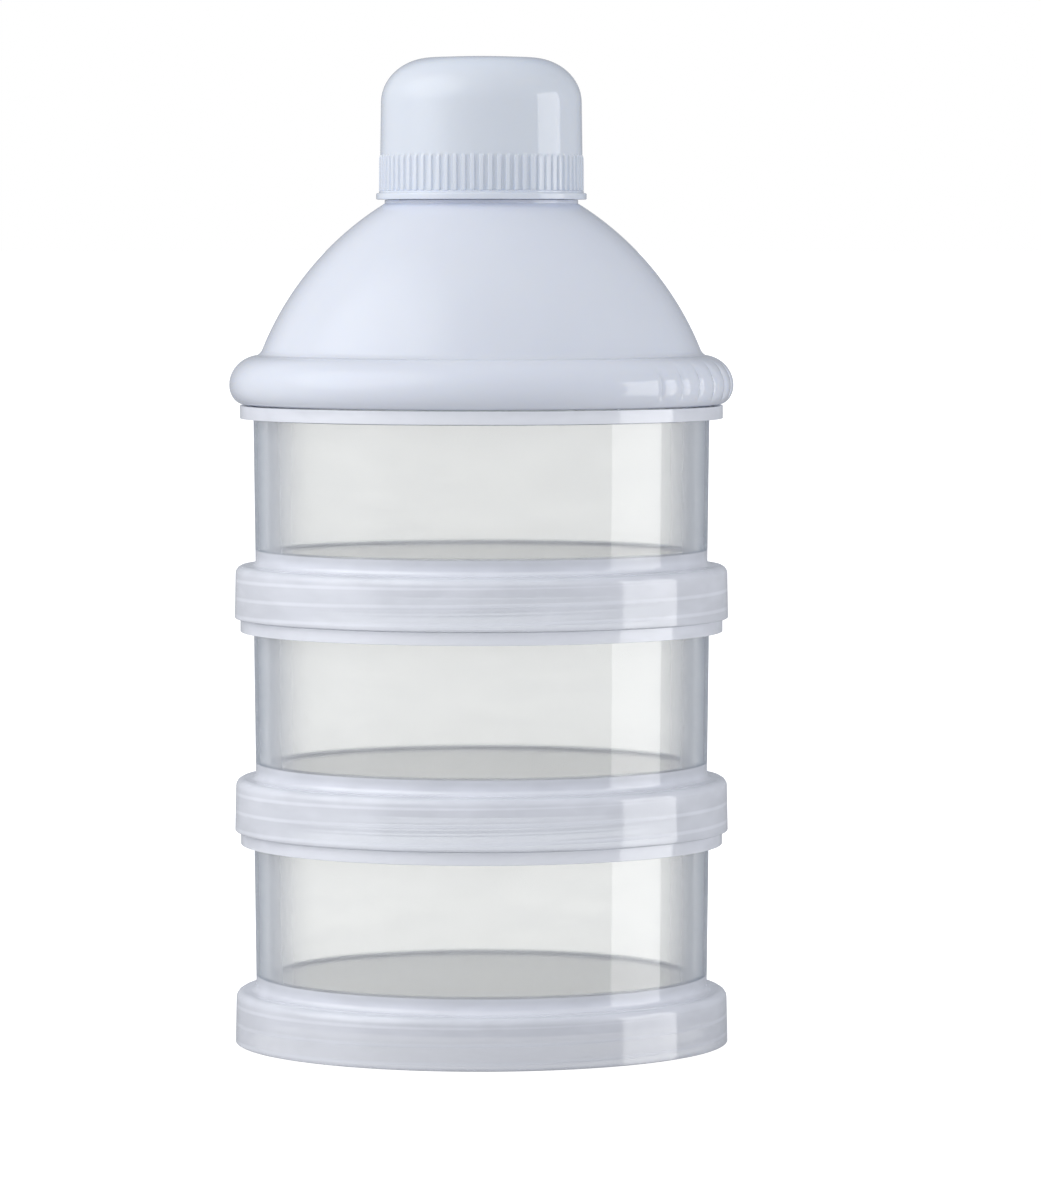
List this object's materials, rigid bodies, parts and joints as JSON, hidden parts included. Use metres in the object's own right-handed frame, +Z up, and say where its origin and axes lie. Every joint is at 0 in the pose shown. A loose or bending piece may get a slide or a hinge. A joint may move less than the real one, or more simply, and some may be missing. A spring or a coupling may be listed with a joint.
{
  "type": "formula dispenser",
  "caption": "Stack of clear screw-together powder containers under a domed funnel lid with a pouring spout and a finely ribbed screw cap.",
  "frame": {"origin": "centre of the face that the stack stands on", "axes": "+Z up along the axis that every piece screws about, -Y is the front"},
  "size_m": [0.071, 0.071, 0.1389],
  "materials": {
    "clear_plastic": "clear polypropylene, faintly milky, smooth",
    "milky_plastic": "translucent milky polypropylene, soft gloss",
    "cap_plastic": "translucent milky polypropylene with a blue tinge, soft gloss",
    "silicone": "translucent white silicone"
  },
  "bodies": {
    "bottom_container": {"bottom_container": "clear_plastic", "bottom_container_seal": "silicone"},
    "middle_container_seal": {"middle_container_seal": "silicone"},
    "middle_container": {"middle_container": "clear_plastic"},
    "top_container_seal": {"top_container_seal": "silicone"},
    "top_container": {"top_container": "clear_plastic"},
    "funnel_seal": {"funnel_seal": "silicone"},
    "funnel_lid": {"funnel_lid": "milky_plastic"},
    "cap_liner": {"cap_liner": "silicone"},
    "screw_cap": {"screw_cap": "cap_plastic"}
  },
  "joints": [
    {"name": "middle_container_rise", "type": "slide", "parent": "bottom_container", "child": "middle_container_seal", "axis": [0, 0, 1], "range_m": [0, 0.00625]},
    {"name": "middle_container_turn", "type": "hinge", "parent": "middle_container_seal", "child": "middle_container", "pos_m": [0, 0, 0.03], "axis": [0, 0, 1], "range_deg": [0, 900]},
    {"name": "top_container_rise", "type": "slide", "parent": "middle_container", "child": "top_container_seal", "axis": [0, 0, 1], "range_m": [0, 0.00625]},
    {"name": "top_container_turn", "type": "hinge", "parent": "top_container_seal", "child": "top_container", "pos_m": [0, 0, 0.06], "axis": [0, 0, 1], "range_deg": [0, 900]},
    {"name": "funnel_rise", "type": "slide", "parent": "top_container", "child": "funnel_seal", "axis": [0, 0, 1], "range_m": [0, 0.00625]},
    {"name": "funnel_turn", "type": "hinge", "parent": "funnel_seal", "child": "funnel_lid", "pos_m": [0, 0, 0.09], "axis": [0, 0, 1], "range_deg": [0, 900]},
    {"name": "cap_rise", "type": "slide", "parent": "funnel_lid", "child": "cap_liner", "axis": [0, 0, 1], "range_m": [0, 0.0165]},
    {"name": "cap_turn", "type": "hinge", "parent": "cap_liner", "child": "screw_cap", "pos_m": [0, 0, 0.1185], "axis": [0, 0, 1], "range_deg": [0, 1980]}
  ],
  "couplings": [
    {"joint": "middle_container_rise", "follows": "middle_container_turn", "m_per_rad": 0.00039789},
    {"joint": "top_container_rise", "follows": "top_container_turn", "m_per_rad": 0.00039789},
    {"joint": "funnel_rise", "follows": "funnel_turn", "m_per_rad": 0.00039789},
    {"joint": "cap_rise", "follows": "cap_turn", "m_per_rad": 0.00047746}
  ]
}
